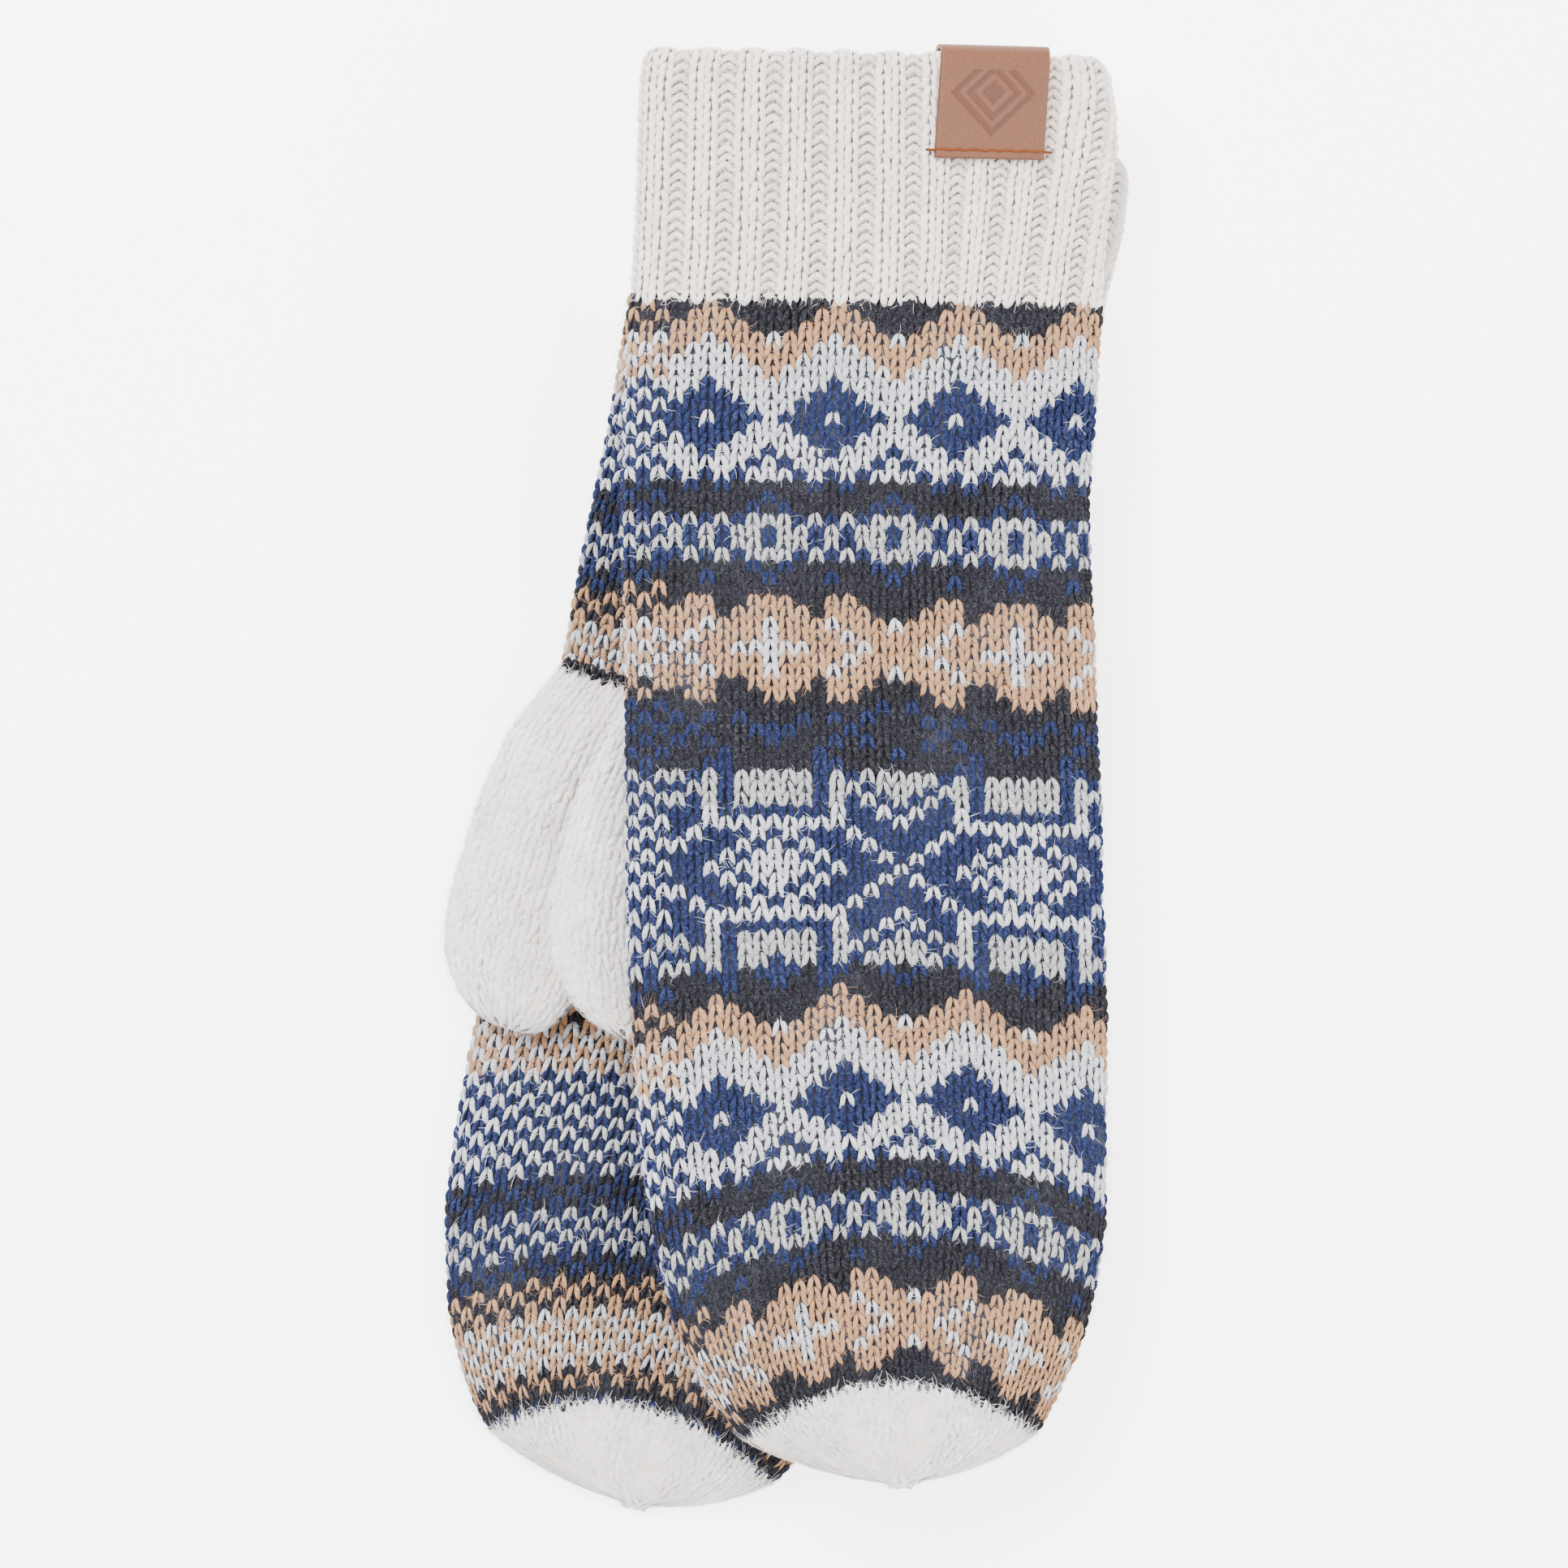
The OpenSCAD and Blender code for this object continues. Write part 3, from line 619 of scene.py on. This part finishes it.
def hand(side, place, body, cuff_body, turned):
    """The patterned hand and the crown. turned is 32 on the mitten that lies palm up."""
    tube = hand_tube(place)
    mapper = simple_mapper(tube)
    columns = np.arange(COLUMNS)
    made = []
    bands = [(0, 17), (17, 34), (34, 50), (50, 66), (66, 82), (82, 97)]
    for i, (r0, r1) in enumerate(bands):
        S, A, C, PIT = [], [], [], []
        for r in range(r0, r1):
            around = (columns - MIDDLE_COLUMN - turned) / COLUMNS
            even = FIRST_ROW + ROW_PITCH * np.array([r, r + 1.0])
            right = np.clip(np.sin(2 * math.pi * around), 0, 1)
            drop = smooth(ROW_DROP, even)[:, None] + (smooth(RIGHT_DROP, even)[:, None] * right)
            drop = drop * (0 if turned else 1)
            S.append(even[0] + drop[0])
            PIT.append(ROW_PITCH + drop[1] - drop[0])
            A.append(around)
            C.append([colour_of(int(c), r) for c in columns])
        s, a, c = np.concatenate(S), np.concatenate(A), np.concatenate(C)
        if turned:
            a = -a
        wid = tube.perimeter(tube.behind(s, a)) / COLUMNS
        mesh = Mesh()
        yarns(mesh, tube, KNIT, s, a, wid, np.concatenate(PIT), c, mapper,
              shape=lambda u, ss, aa: bumps(ss, aa))
        # the hairs on the patterned hand are 1.3 times lighter than their yarn: painted sheen on
        # the fuzz
        fibres(mesh, s, a, wid, c, mapper, int(len(s) * 6), tone=1.3)
        made.append(mesh.build(f"{side}_hand_knit_{i + 1}", PATTERN))
    # a dark skin under the hand's stitches: float yarn, and painted shade in the gaps
    back = grid_surface(f"{side}_hand_floats_gap_shade", tube, np.arange(47.5, 259, 2.5), -1.3, M_FLOAT_GAP_SHADE)
    for ob in made + [back]:
        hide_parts(f"{side}_hand_knit")
        finish_across(ob, side, body, cuff_body)
    # crown
    mesh = Mesh()
    S, A, WD = [], [], []
    for b in np.arange(257.6, 276.4, 2.05):
        n = max(8, 4 * int(round(float(tube.perimeter(np.array([b]))[0]) / 2.9 / 4)))
        S.append(np.full(n, b))
        A.append((np.arange(n) - MIDDLE_COLUMN * n / COLUMNS) / n)
        WD.append(tube.perimeter(tube.behind(S[-1], A[-1])) / n)
    s, a, wid = np.concatenate(S), np.concatenate(A), np.concatenate(WD)
    col = np.zeros(len(s), int)
    yarns(mesh, tube, SOFT, s, a, wid, np.full(len(s), 2.05), col, mapper, wild=1.3,
          shape=lambda u, ss, aa: crease(ss, aa + u / 150) + bumps(ss, aa))
    fibres(mesh, s, a, wid, col, mapper, 9000, long=(1.0, 3.4), rise=(0.05, 0.5), tone=1.0)
    crown = mesh.build(f"{side}_crown_knit", [M_CROWN])
    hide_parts(f"{side}_crown")
    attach(crown, body)
    under = grid_surface(f"{side}_crown_back", tube,
                         list(np.arange(257, 276, 1.5)) + [TIP_BACKING], -1.1, M_FLOAT_LIGHT)
    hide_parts(f"{side}_crown")
    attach(under, body)
    # the yarn that gathers the tip, and the lining
    t = np.linspace(0, 2 * math.pi, 41)[:-1]
    centre = np.array([269.8 + 0 * t, 0 * t, 0 * t])
    c0 = place(centre[0], centre[1], centre[2])
    loop_yarn(f"{side}_crown_gather", c0 + np.stack([2.6 * np.cos(t), 2.6 * np.sin(t), 0 * t], 1),
              0.65, M_CROWN, f"{side}_crown_yarn", body)
    lining = grid_surface(f"{side}_hand_fleece", tube,
                          [50, 60, 70, 90, 115, 145, 175, 200, 215, 228, 240, 250, 256, 260],
                          -2.3, M_FLEECE, inward=True)
    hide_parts(f"{side}_hand_lining")
    finish_across(lining, side, body, cuff_body)


def finish_across(ob, side, body, cuff_body):
    """Pieces ride on the hand, except on the left mitten, where pieces that reach up near the
    wrist have their placement baked into the mesh and ride on no body.
    """
    if cuff_body == body:
        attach(ob, body)
        return
    ys = np.array([v.co.y for v in ob.data.vertices])
    if ys.max() > (CUFF_END_Y - 62) * MM:
        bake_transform(ob)
    else:
        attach(ob, body)


def loop_yarn(name, path, r, material, replaced, body, nk=8):
    """A closed ring of round yarn along path, in mm."""
    p = np.array(path, float)
    d = np.roll(p, -1, 0) - np.roll(p, 1, 0)
    d /= np.linalg.norm(d, axis=1)[:, None]
    up = np.array([0, 0, 1.0])
    side = np.cross(d, up)
    side /= np.maximum(np.linalg.norm(side, axis=1), 1e-6)[:, None]
    top = np.cross(side, d)
    p, side, top = (np.concatenate([x, x[:1]]) for x in (p, side, top))
    th = -math.pi / 2 + 2 * math.pi * np.arange(nk) / nk
    co = (p[:, None] + r * (side[:, None] * np.cos(th)[None, :, None]
                            + top[:, None] * np.sin(th)[None, :, None])).reshape(-1, 3)
    q, uv = tube_quads(len(p), nk, False)
    m = Mesh()
    m.add(co, q, uv.reshape(-1, 2), np.zeros(len(q)), np.full(len(co), 0.37), np.ones(len(co)))
    ob = m.build(name, [material])
    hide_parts(replaced)
    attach(ob, body)


RIBS, FOLD = 21, 1.05


def step_up(lo, hi, x):
    e = np.clip((x - lo) / (hi - lo), 0, 1)
    return e * e * (3 - 2 * e)


def cuff(side, place, body, hand_body):
    tube = cuff_tube(place)
    bulge_at, bulge_by = (13, 3.1) if side == "left" else (11, 1.8)

    def mapper(v, a, u, w):
        """v is along the fabric: down the outside from the fold, or, below 0, over the fold."""
        phi = np.clip(-v / FOLD, 0, math.pi)
        inner = v < -math.pi * FOLD
        s = 1.85 + np.where(v > 0, v, 0) + np.where(inner, -(v + math.pi * FOLD), 0)
        s = s - (FOLD + w) * np.sin(phi)
        per = tube.perimeter(s)
        aa = (a + u / per + 0.5) % 1 - 0.5
        x = aa * 190
        near = step_up(4, 36, x) * (1 - step_up(44, 60, x))
        aa = aa - 6.0 * (s / 48 - 0.3) * near / per
        f = tube.look(s, aa)
        h = -1.85 + (FOLD + w) * np.cos(phi)
        t = f[..., 0] + h * f[..., 2]
        bulge = step_up(34, 46, t) * np.exp(-((s - bulge_at) / 17) ** 2) * bulge_by
        return tube.place(s, t + bulge, f[..., 1] + h * f[..., 3])

    per = 190.0
    rib = per / RIBS
    pitch = 1.9

    def build(rows, name, replaced, fuzz):
        S, A, C, WD, KIND = [], [], [], [], []
        for v in rows:
            for j in range(RIBS):
                mid = (j + 0.3) / RIBS
                for off, kind in ((-1.5, 0), (1.5, 0), (rib / 2, 1)):
                    S.append(v + rng.normal(0, 0.05))
                    A.append(mid + off / per)
                    KIND.append(kind)
        s, a, kind = np.array(S), np.array(A), np.array(KIND)
        mesh = Mesh()

        def rounding(u, ss, aa):
            x = ((aa + u / per) * RIBS - 0.3 + 0.5) % 1 - 0.5
            x = np.abs(x) * rib
            e = np.clip((x - 1.6) / 2.2, 0, 1)
            return 0.25 - 1.15 * e * e * (3 - 2 * e)

        k = kind == 0
        yarns(mesh, tube, RIB, s[k], a[k], np.full(k.sum(), 3.15), np.full(k.sum(), pitch),
              np.zeros(k.sum(), int), mapper, wild=0.8, h=0.0, shape=rounding)
        # the purl stitches take slot 1, the darker copy of the cream yarn: painted shade in the
        # valleys
        p = ~k
        yarns(mesh, tube, PURL, s[p], a[p], np.full(p.sum(), 2.75), np.full(p.sum(), pitch),
              np.ones(p.sum(), int), mapper, wild=1.0, h=0.1, shape=rounding)
        fibres(mesh, s, a, np.full(len(s), 3.0), np.zeros(len(s), int), mapper,
               int(len(s) * fuzz), long=(0.8, 2.8), rise=(0.7, 1.1), tone=1.0)
        ob = mesh.build(name, [M_CREAM, M_VALLEY_SHADE])
        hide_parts(replaced)
        return ob

    rows = np.arange(-1.2, 46.5, pitch)
    turned = np.arange(-FOLD * math.pi - 43.5, -FOLD * math.pi + 1.5, pitch)
    parts = [build(rows[:13], f"{side}_cuff_ribbing_1", f"{side}_cuff_rib", 6.0),
             build(rows[13:], f"{side}_cuff_ribbing_2", f"{side}_cuff_rib", 6.0),
             build(turned[:12], f"{side}_cuff_turned_in_1", f"{side}_cuff_facing",
                   0.6),
             build(turned[12:], f"{side}_cuff_turned_in_2", f"{side}_cuff_facing",
                   0.6)]
    s = np.full(COLUMNS, 46.6)
    a = np.arange(COLUMNS) / COLUMNS
    mesh = Mesh()
    yarns(mesh, tube, PURL, s, a, np.full(COLUMNS, 2.6), np.full(COLUMNS, 1.4),
          np.zeros(COLUMNS, int), simple_mapper(tube), h=-2.6)
    seam = mesh.build(f"{side}_cuff_seam_stitches", [M_CREAM])
    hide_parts(f"{side}_cuff_seam")
    vs = np.arange(0.2, 46.7, 1.1)
    v, a = np.meshgrid(vs, np.arange(252) / 252, indexing="ij")
    x = np.abs((a * RIBS - 0.3 + 0.5) % 1 - 0.5) * rib
    w = -0.85 - 0.69 * step_up(1.6, 3.8, x) + 0.04 * rng.standard_normal(v.shape)
    q, uv = tube_quads(len(vs), 252, tube.hand > 0)
    mesh = Mesh()
    mesh.add(mapper(v, a, 0 * v, w).reshape(-1, 3), q, uv.reshape(-1, 2), np.zeros(len(q)),
             rng.random(v.size), np.ones(v.size))
    core = mesh.build(f"{side}_cuff_core", [M_FLOAT_LIGHT])
    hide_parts(f"{side}_cuff_rib")
    for ob in parts + [seam, core]:
        finish_across(ob, side, hand_body, body)


def thumb(side, place, hand_body):
    tube = thumb_tube(place)
    mapper = simple_mapper(tube)
    rows = np.arange(1.4, 70.0, 2.3)
    S, A, WD = [], [], []
    for i, b in enumerate(rows):
        n = 22 if b < 50 else max(6, 2 * int(round(float(tube.perimeter(np.array([b]))[0]) / 5.8)))
        S.append(np.full(n, b))
        A.append((np.arange(n) + 0.15) / n)
        WD.append(tube.perimeter(S[-1]) / n)
    s, a, wid = np.concatenate(S), np.concatenate(A), np.concatenate(WD)
    col = np.zeros(len(s), int)
    mesh = Mesh()
    yarns(mesh, tube, SOFT, s, a, wid, np.full(len(s), 2.3), col, mapper, wild=1.3,
          shape=lambda u, ss, aa: 0.7 * bumps(ss, aa))
    fibres(mesh, s, a, wid, col, mapper, 12000, long=(1.0, 3.4), rise=(0.05, 0.5), tone=1.0)
    knit = mesh.build(f"{side}_thumb_stitches", [M_CROWN])
    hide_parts(f"{side}_thumb_knit")
    core = grid_surface(f"{side}_thumb_core", tube, np.arange(0.5, 70.5, 2), -1.05,
                        M_FLOAT_LIGHT, na=64)
    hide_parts(f"{side}_thumb_knit")
    lining = grid_surface(f"{side}_thumb_fleece", tube,
                          [1.8, 4, 8, 14, 22, 32, 43, 53, 59, 63, 66], -1.8, M_FLEECE, na=64,
                          inward=True)
    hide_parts(f"{side}_thumb_lining")
    for ob in (knit, core, lining):
        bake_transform(ob)
    # the dark round that the thumb is picked up from
    mesh = Mesh()
    s, n = np.full(22, -0.6), 22
    a = (np.arange(n) + 0.15) / n
    yarns(mesh, tube, KNIT, s, a, np.full(n, 2.9), np.full(n, 2.1), np.zeros(n, int), mapper,
          h=-0.9)
    # these hairs keep the default tone of 1.2, lighter than the charcoal yarn: painted sheen on
    # the fuzz
    fibres(mesh, s, a, np.full(n, 2.9), np.zeros(n, int), mapper, 60)
    band = mesh.build(f"{side}_thumb_pickup", [M_CHARCOAL])
    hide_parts(f"{side}_thumb_band")
    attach(band, hand_body)


GAP, LEATHER, KNIT_WALL, FACING_WALL = 0.1, 1.3, 1.7, 1.3
INSIDE = -(KNIT_WALL + GAP + FACING_WALL + 0.3)
PATCH_D, PATCH_W, PATCH_MID = 21.0, 21.4, 22.2
PATCH = [[PATCH_D, GAP + LEATHER, GAP, PATCH_D], [12, GAP + LEATHER, GAP, 12],
         [4, GAP + LEATHER, GAP, 4], [0.6, 1.25, GAP, 1.3], [-0.75, 0.1, -0.7, -0.15],
         [-1.15, -1.7, -1.7, -0.3], [-0.75, -3.5, -2.7, -0.15],
         [0.6, INSIDE - 1.15, INSIDE, 1.3], [4, INSIDE - LEATHER, INSIDE, 4],
         [12, INSIDE - LEATHER, INSIDE, 12], [PATCH_D, INSIDE - LEATHER, INSIDE, PATCH_D]]


def face_n(s, t, off):
    w = CUFF_HALF * smooth(CUFF_WIDE, s) + off
    d = 6.5 * smooth(CUFF_DEEP, s) + off
    return d * (1 - np.minimum(np.abs(t) / w, 1) ** 2.5) ** 0.4


def patch(side, place, sign, body, hand_body):
    """The leather folded over the cuff's edge, with plain nested lozenges pressed into it."""
    table = np.array(PATCH)
    run = np.concatenate([[0], np.cumsum(np.hypot(np.diff(table[:, 0]), np.diff(table[:, 1])))])
    fine = np.concatenate([np.linspace(0, run[2], 64)[:-1], np.linspace(run[2], run[8], 48)[:-1],
                           np.linspace(run[8], run[-1], 20)])

    def curve(column):
        return smooth(np.stack([run, table[:, column]], 1), fine)
    outer_s, outer_h = curve(0), curve(1)
    inner_s, inner_h = curve(3), curve(2)
    nt = 81
    ts = PATCH_MID + PATCH_W * (np.linspace(0, 1, nt) - 0.5)
    edge = np.minimum(np.arange(nt), np.arange(nt)[::-1]) * PATCH_W / (nt - 1)
    bevel = 0.22 * np.clip(1 - edge / 0.5, 0, 1) ** 2
    end = np.minimum(run[-1] - fine, fine)
    bevel_v = 0.22 * np.clip(1 - end / 0.5, 0, 1) ** 2
    S, T = np.meshgrid(outer_s, ts, indexing="ij")
    H = np.broadcast_to(outer_h[:, None], S.shape) - bevel[None] - bevel_v[:, None]
    ring = np.abs(T - PATCH_MID) + np.abs(S - 8.3)
    mark = (((ring < 8.4) & (ring > 6.9)) | ((ring < 5.5) & (ring > 4.0))
            | (ring < 2.4)).astype(float)
    mark = mark * (np.arange(len(fine)) < 64)[:, None]
    H = H - 0.2 * mark + 0.02 * rng.standard_normal(H.shape)
    T = T + 0.6 - 1.3 * S / PATCH_D
    top = place(S, T, sign * face_n(np.maximum(S, 0), T, H))
    Si, Ti = np.meshgrid(inner_s, ts, indexing="ij")
    Hi = np.broadcast_to(inner_h[:, None], Si.shape)
    Ti = Ti + 0.6 - 1.3 * Si / PATCH_D
    low = place(Si, Ti, sign * face_n(np.maximum(Si, 0), Ti, Hi))
    loop = np.concatenate([top, low[::-1]], 0)
    n = len(loop)
    co = loop.transpose(1, 0, 2).reshape(-1, 3)
    flip = sign < 0
    q, uv = tube_quads(nt, n, flip)
    m = Mesh()
    m.add(co, q, uv.reshape(-1, 2), np.zeros(len(q)), rng.random(len(co)), np.ones(len(co)))
    half = len(fine)
    for col in (0, nt - 1):
        i = np.arange(half - 1)
        a, b = col * n + i, col * n + i + 1
        c, d = col * n + n - 2 - i, col * n + n - 1 - i
        e = np.stack([a, b, c, d], 1)
        if (col == 0) == flip:
            e = e[:, ::-1]
        m.add(np.zeros((0, 3)), e - m.n, np.full((len(e) * 4, 2), 0.5), np.zeros(len(e)),
              np.zeros(0), np.zeros(0))
    ob = m.build(f"{side}_leather_patch", [M_LEATHER])
    at = ob.data.attributes.new("press", "FLOAT", "POINT")
    full = np.concatenate([mark, np.zeros_like(mark)], 0).T.ravel()
    at.data.foreach_set("value", full.astype(np.float32))
    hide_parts(f"{side}_patch")
    finish_across(ob, side, hand_body, body)
    # the stitching thread
    row = PATCH_D - 1.6
    t0, t1 = PATCH_MID - PATCH_W / 2 - 1.5, PATCH_MID + PATCH_W / 2 + 1.5
    tt = np.linspace(t0, t1, 121)
    slant = 0.6 - 1.3 * row / PATCH_D
    over = np.clip((np.abs(tt - PATCH_MID) - PATCH_W / 2 + 0.4) / 0.9, 0, 1)
    stitch = 0.16 * np.abs(np.sin(math.pi * (tt - t0) / 2.5)) - 0.12
    wav = row + 0.08 * np.sin(tt * 1.9)
    up = GAP + LEATHER + stitch - 1.0 * over
    a = place(wav, tt + slant, sign * face_n(wav, tt + slant, up))
    tl = tt[::-1][::8] + slant
    b = place(row + 0 * tl, tl, sign * face_n(row + 0 * tl, tl, INSIDE - LEATHER - 0.05))
    loop_yarn(f"{side}_patch_stitching", np.concatenate([a, b]), 0.27, M_THREAD,
              f"{side}_patch_thread", body)


hand("right", right_place, "right_hand", "right_hand", 32)
hand("left", left_place, "left_hand", "left_cuff", 0)
cuff("right", right_place, "right_hand", "right_hand")
cuff("left", left_place, "left_cuff", "left_hand")
thumb("right", thumb1_place, "right_hand")
thumb("left", thumb2_place, "left_hand")
patch("right", right_place, -1, "right_hand", "right_hand")
patch("left", left_place, 1, "left_cuff", "left_hand")

# ------------------------------------------------------------------ stage, light, camera
bpy.ops.mesh.primitive_plane_add(size=6, location=(0, 0, -0.0004))
floor = bpy.context.object
floor.name = "floor"
fm, _, fp = start_material("floor_paper", 0.9)
fp.inputs["Base Color"].default_value = (0.9, 0.9, 0.905, 1)
fp.inputs["Emission Color"].default_value = (1, 1, 1, 1)
fp.inputs["Emission Strength"].default_value = 3.0
floor.data.materials.append(fm)

world = bpy.data.worlds.new("studio")
bpy.context.scene.world = world
world.use_nodes = True
world.node_tree.nodes["Background"].inputs[0].default_value = (1, 1, 1, 1)
world.node_tree.nodes["Background"].inputs[1].default_value = 1.8


def lamp(name, place, size, energy):
    data = bpy.data.lights.new(name, "AREA")
    data.size = size
    data.energy = energy
    ob = bpy.data.objects.new(name, data)
    ob.location = place
    ob.rotation_mode = "QUATERNION"
    ob.rotation_quaternion = (-Vector(place)).to_track_quat("-Z", "Y")
    bpy.context.scene.collection.objects.link(ob)


lamp("key", (-0.7, 0.9, 1.4), 0.9, 86)
lamp("fill", (0.9, -0.2, 1.2), 1.2, 33)

cam_data = bpy.data.cameras.new("camera")
cam_data.lens = 187
cam_data.sensor_width = 36
cam_data.clip_start, cam_data.clip_end = 0.05, 20
cam = bpy.data.objects.new("camera", cam_data)
cam.location = (0, 0, 1.6)
cam.rotation_euler = (0, 0, 0)
bpy.context.scene.collection.objects.link(cam)
bpy.context.scene.camera = cam
